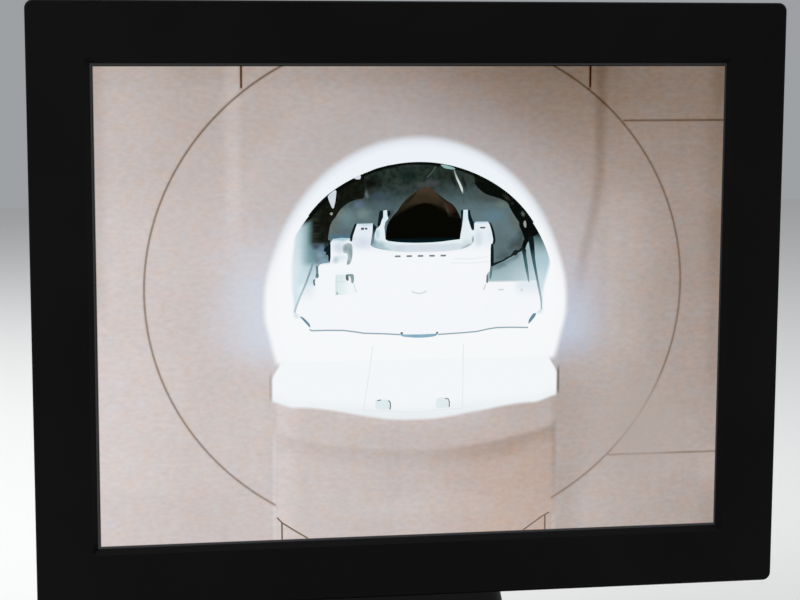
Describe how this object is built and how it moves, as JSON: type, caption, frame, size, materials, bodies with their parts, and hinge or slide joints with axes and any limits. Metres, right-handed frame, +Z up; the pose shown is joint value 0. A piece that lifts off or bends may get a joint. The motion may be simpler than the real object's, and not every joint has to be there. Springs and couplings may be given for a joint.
{
  "type": "lcd monitor",
  "caption": "Flat 4:3 desk monitor with an even black border and a lit picture, on a tapered neck that tilts and swivels over a flat base.",
  "frame": {"origin": "bottom centre of the base, on the surface that it stands on", "axes": "+X to the viewer's right, the screen faces -Y, +Z up"},
  "size_m": [0.3642, 0.2, 0.376],
  "materials": {
    "bezel_plastic": "fine moulded grain, black",
    "cover_plastic": "moulded grain, black",
    "stand_plastic": "moulded grain, black",
    "key_plastic": "smooth black",
    "plated_steel": "zinc plated sheet",
    "black_steel": "black powder coat",
    "screw_steel": "zinc plated",
    "brass_parts": "turned",
    "silvered_film": "bright",
    "white_film": "white",
    "clear_acrylic": "clear",
    "panel_glass": "anti-glare",
    "lamp_glass": "white phosphor",
    "circuit_board": "solder mask",
    "flat_cable": "flat cable",
    "socket_plastic": "moulded black",
    "socket_metal": "nickel plated",
    "nylon": "natural nylon",
    "foot_rubber": "moulded",
    "print_cover": "lit picture, warm beige",
    "print_seams": "lit picture, brown",
    "print_ring": "lit picture, white",
    "print_bore": "lit picture, near black",
    "print_tunnel": "lit picture, blue grey",
    "print_table": "lit picture, white",
    "print_dock": "lit picture, white",
    "print_column": "lit picture, warm beige"
  },
  "bodies": {
    "base": {"base_cover": "stand_plastic", "base_weight": "black_steel", "rubber_feet": "foot_rubber", "base_screws": "screw_steel", "swivel_ring": "nylon", "swivel_bolt": "screw_steel", "swivel_nut": "screw_steel", "stop_pin": "screw_steel"},
    "neck": {"foot_plate": "black_steel", "foot_screws": "screw_steel", "neck_frame": "black_steel", "neck_front_cover": "stand_plastic", "neck_rear_cover": "stand_plastic", "friction_washers": "nylon"},
    "head": {"backlight_lamps": "lamp_glass", "bezel": "bezel_plastic", "bnc_input": "socket_metal", "bnc_output": "socket_metal", "board_screws": "screw_steel", "board_shield": "plated_steel", "board_standoffs": "brass_parts", "chassis_plate": "plated_steel", "cover_screws": "screw_steel", "dc_jack": "socket_plastic", "driver_board": "circuit_board", "hinge_pin": "screw_steel", "key_board": "circuit_board", "key_cable": "flat_cable", "lamp_leads": "flat_cable", "lamp_reflectors": "silvered_film", "lcd_cell": "panel_glass", "light_guide": "clear_acrylic", "main_board": "circuit_board", "optical_films": "white_film", "panel_cable": "flat_cable", "panel_frame": "plated_steel", "panel_screws": "screw_steel", "panel_tray": "plated_steel", "picture_bore": "print_bore", "picture_column": "print_column", "picture_cover": "print_cover", "picture_dock": "print_dock", "picture_ring": "print_ring", "picture_seams": "print_seams", "picture_table": "print_table", "picture_tunnel": "print_tunnel", "pin_nut": "screw_steel", "power_board": "circuit_board", "rear_cover": "cover_plastic", "reflector_sheet": "white_film", "tilt_bracket": "black_steel", "tilt_screws": "screw_steel", "vesa_inserts": "brass_parts", "vga_socket": "socket_metal"},
    "power_key_cap": {"power_key": "key_plastic"},
    "menu_key_cap": {"menu_key": "key_plastic"},
    "up_key_cap": {"up_key": "key_plastic"},
    "down_key_cap": {"down_key": "key_plastic"},
    "source_key_cap": {"source_key": "key_plastic"}
  },
  "joints": [
    {"name": "swivel", "type": "hinge", "parent": "base", "child": "neck", "pos_m": [0, 0.027, 0.012], "axis": [0, 0, 1], "range_deg": [-45, 45]},
    {"name": "tilt", "type": "hinge", "parent": "neck", "child": "head", "pos_m": [0, 0.02, 0.19], "axis": [-1, 0, 0], "range_deg": [-5, 20]},
    {"name": "power_key_press", "type": "slide", "parent": "head", "child": "power_key_cap", "axis": [0, 0, 1], "range_m": [0, 0.0006], "stiffness_N_per_m": 600, "springref_m": -0.0005},
    {"name": "menu_key_press", "type": "slide", "parent": "head", "child": "menu_key_cap", "axis": [0, 0, 1], "range_m": [0, 0.0006], "stiffness_N_per_m": 600, "springref_m": -0.0005},
    {"name": "up_key_press", "type": "slide", "parent": "head", "child": "up_key_cap", "axis": [0, 0, 1], "range_m": [0, 0.0006], "stiffness_N_per_m": 600, "springref_m": -0.0005},
    {"name": "down_key_press", "type": "slide", "parent": "head", "child": "down_key_cap", "axis": [0, 0, 1], "range_m": [0, 0.0006], "stiffness_N_per_m": 600, "springref_m": -0.0005},
    {"name": "source_key_press", "type": "slide", "parent": "head", "child": "source_key_cap", "axis": [0, 0, 1], "range_m": [0, 0.0006], "stiffness_N_per_m": 600, "springref_m": -0.0005}
  ]
}
